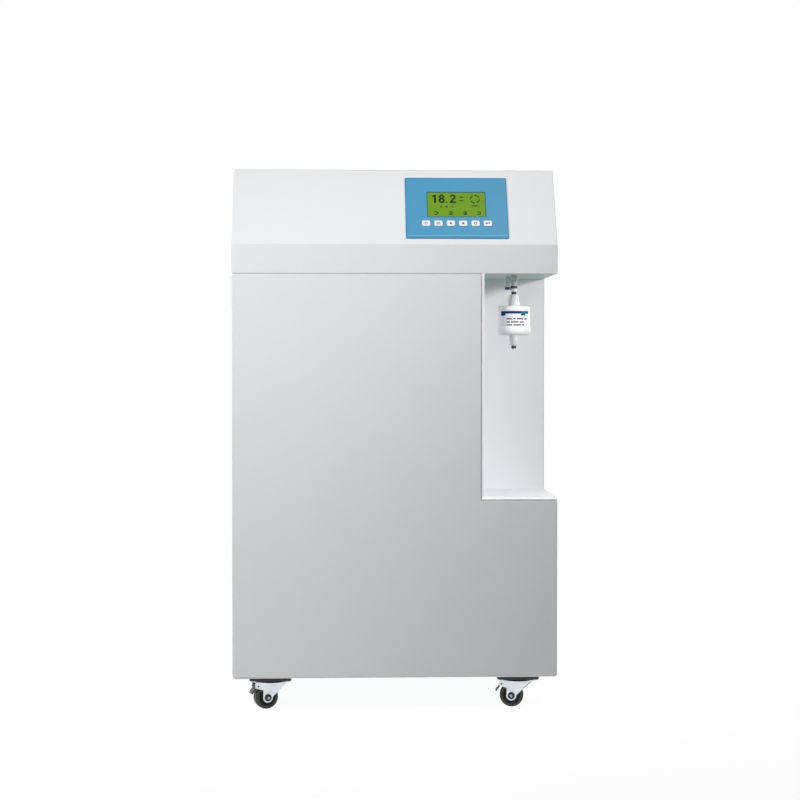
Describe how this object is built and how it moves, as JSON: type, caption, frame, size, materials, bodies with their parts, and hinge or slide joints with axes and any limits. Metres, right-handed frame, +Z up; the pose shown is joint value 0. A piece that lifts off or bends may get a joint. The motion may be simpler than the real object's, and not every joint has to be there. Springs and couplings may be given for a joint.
{
  "type": "laboratory water purifier",
  "caption": "Floor-standing laboratory water purifier: white steel cabinet on swivel casters, sloped control panel with display and keys, side dispensing niche with capsule filter.",
  "frame": {"origin": "on the floor, under the middle of the overall box", "axes": "+Z up, +X to the right seen from the front, front towards -Y"},
  "size_m": [0.54, 0.5, 0.909],
  "materials": {
    "white_paint": "fine satin powder coat",
    "zinc_sheet": "dull zinc-plated sheet",
    "bright_steel": "bright plated steel",
    "caster_zinc": "bright zinc plate",
    "caster_rubber": "satin moulded rubber",
    "brake_black": "black painted",
    "black_plastic": "fine moulded texture",
    "rocker_black": "glossy",
    "ferrite": "sintered",
    "white_nylon": "satin",
    "blue_overlay": "printed film under a satin face",
    "display_green": "clear pane over a backlit display",
    "board_green": "solder mask",
    "key_white": "satin",
    "clear_fitting": "translucent",
    "collet_blue": "moulded",
    "capsule_white": "moulded polypropylene",
    "seal_black": "matt",
    "filter_blue": "moulded",
    "bowl_clear": "clear moulded",
    "cartridge_white": "wound fibre",
    "vessel_white": "moulded",
    "pump_dark": "satin black",
    "tube_white": "extruded",
    "fitting_grey": "moulded"
  },
  "bodies": {
    "root": {"left_side_panel": "white_paint", "right_side_panel": "white_paint", "rear_panel": "white_paint", "niche_liner": "white_paint", "tray_ledge": "white_paint", "head_cover": "white_paint", "head_floor": "white_paint", "base_pan": "zinc_sheet", "chassis_plate": "zinc_sheet", "hinge_strap": "zinc_sheet", "filter_bracket": "zinc_sheet", "power_supply": "zinc_sheet", "lcd_module": "zinc_sheet", "hinge_pins": "bright_steel", "panel_screws": "bright_steel", "caster_bolts": "bright_steel", "inlet_blades": "bright_steel", "caster_plates": "brake_black", "caster_pads": "black_plastic", "vessel_clips": "black_plastic", "solenoid_valves": "black_plastic", "power_inlet": "black_plastic", "door_magnets": "ferrite", "control_overlay": "blue_overlay", "lcd_window": "display_green", "control_board": "board_green", "outlet_fittings": "clear_fitting", "collet_rings": "collet_blue", "capsule_housing": "capsule_white", "capsule_link": "capsule_white", "seal_rings": "seal_black", "pump_mounts": "seal_black", "prefilter_heads": "filter_blue", "prefilter_bowls": "bowl_clear", "prefilter_cartridges": "cartridge_white", "ro_vessels": "vessel_white", "polishing_columns": "vessel_white", "booster_pump": "pump_dark", "water_tubes": "tube_white", "rear_bulkheads": "fitting_grey"},
    "door": {"front_door": "white_paint", "door_bushes": "white_nylon", "door_strikes": "bright_steel"},
    "power_rocker": {"power_rocker": "rocker_black"},
    "key_1": {"key_1": "key_white"},
    "key_2": {"key_2": "key_white"},
    "key_3": {"key_3": "key_white"},
    "key_4": {"key_4": "key_white"},
    "key_5": {"key_5": "key_white"},
    "key_6": {"key_6": "key_white"},
    "caster_front_left": {"caster_fork_front_left": "caster_zinc"},
    "wheel_front_left": {"caster_wheel_front_left": "caster_rubber"},
    "caster_front_right": {"caster_fork_front_right": "caster_zinc"},
    "wheel_front_right": {"caster_wheel_front_right": "caster_rubber"},
    "caster_rear_left": {"caster_fork_rear_left": "caster_zinc"},
    "wheel_rear_left": {"caster_wheel_rear_left": "caster_rubber"},
    "caster_rear_right": {"caster_fork_rear_right": "caster_zinc"},
    "wheel_rear_right": {"caster_wheel_rear_right": "caster_rubber"},
    "brake_front_left": {"caster_brake_front_left": "brake_black"},
    "brake_front_right": {"caster_brake_front_right": "brake_black"}
  },
  "joints": [
    {"name": "door_hinge", "type": "hinge", "parent": "root", "child": "door", "pos_m": [-0.263, -0.239, 0.395], "axis": [0, 0, -1], "range_deg": [0, 110]},
    {"name": "power_rocker_tilt", "type": "hinge", "parent": "root", "child": "power_rocker", "pos_m": [-0.185, 0.228, 0.162], "axis": [-1, 0, 0], "range_deg": [0, 20]},
    {"name": "key_1_press", "type": "slide", "parent": "root", "child": "key_1", "axis": [0, 0.8861, -0.4635], "range_m": [0, 0.0006], "stiffness_N_per_m": 1500},
    {"name": "key_2_press", "type": "slide", "parent": "root", "child": "key_2", "axis": [0, 0.8861, -0.4635], "range_m": [0, 0.0006], "stiffness_N_per_m": 1500},
    {"name": "key_3_press", "type": "slide", "parent": "root", "child": "key_3", "axis": [0, 0.8861, -0.4635], "range_m": [0, 0.0006], "stiffness_N_per_m": 1500},
    {"name": "key_4_press", "type": "slide", "parent": "root", "child": "key_4", "axis": [0, 0.8861, -0.4635], "range_m": [0, 0.0006], "stiffness_N_per_m": 1500},
    {"name": "key_5_press", "type": "slide", "parent": "root", "child": "key_5", "axis": [0, 0.8861, -0.4635], "range_m": [0, 0.0006], "stiffness_N_per_m": 1500},
    {"name": "key_6_press", "type": "slide", "parent": "root", "child": "key_6", "axis": [0, 0.8861, -0.4635], "range_m": [0, 0.0006], "stiffness_N_per_m": 1500},
    {"name": "swivel_front_left", "type": "hinge", "parent": "root", "child": "caster_front_left", "pos_m": [-0.2085, -0.196, 0.047], "axis": [0, 0, 1], "continuous": true},
    {"name": "spin_front_left", "type": "hinge", "parent": "caster_front_left", "child": "wheel_front_left", "pos_m": [-0.21696, -0.19908, 0.02], "axis": [0.342, -0.9397, 0], "continuous": true},
    {"name": "brake_front_left_press", "type": "hinge", "parent": "caster_front_left", "child": "brake_front_left", "pos_m": [-0.23274, -0.20482, 0.0395], "axis": [0.342, -0.9397, 0], "range_deg": [0, 22]},
    {"name": "swivel_front_right", "type": "hinge", "parent": "root", "child": "caster_front_right", "pos_m": [0.2085, -0.196, 0.047], "axis": [0, 0, 1], "continuous": true},
    {"name": "spin_front_right", "type": "hinge", "parent": "caster_front_right", "child": "wheel_front_right", "pos_m": [0.19959, -0.19475, 0.02], "axis": [-0.1392, -0.9903, 0], "continuous": true},
    {"name": "brake_front_right_press", "type": "hinge", "parent": "caster_front_right", "child": "brake_front_right", "pos_m": [0.18295, -0.19241, 0.0395], "axis": [-0.1392, -0.9903, 0], "range_deg": [0, 22]},
    {"name": "swivel_rear_left", "type": "hinge", "parent": "root", "child": "caster_rear_left", "pos_m": [-0.2085, 0.176, 0.047], "axis": [0, 0, 1], "continuous": true},
    {"name": "spin_rear_left", "type": "hinge", "parent": "caster_rear_left", "child": "wheel_rear_left", "pos_m": [-0.21629, 0.1805, 0.02], "axis": [-0.5, -0.866, 0], "continuous": true},
    {"name": "swivel_rear_right", "type": "hinge", "parent": "root", "child": "caster_rear_right", "pos_m": [0.2085, 0.176, 0.047], "axis": [0, 0, 1], "continuous": true},
    {"name": "spin_rear_right", "type": "hinge", "parent": "caster_rear_right", "child": "wheel_rear_right", "pos_m": [0.21696, 0.17908, 0.02], "axis": [-0.342, 0.9397, 0], "continuous": true}
  ]
}
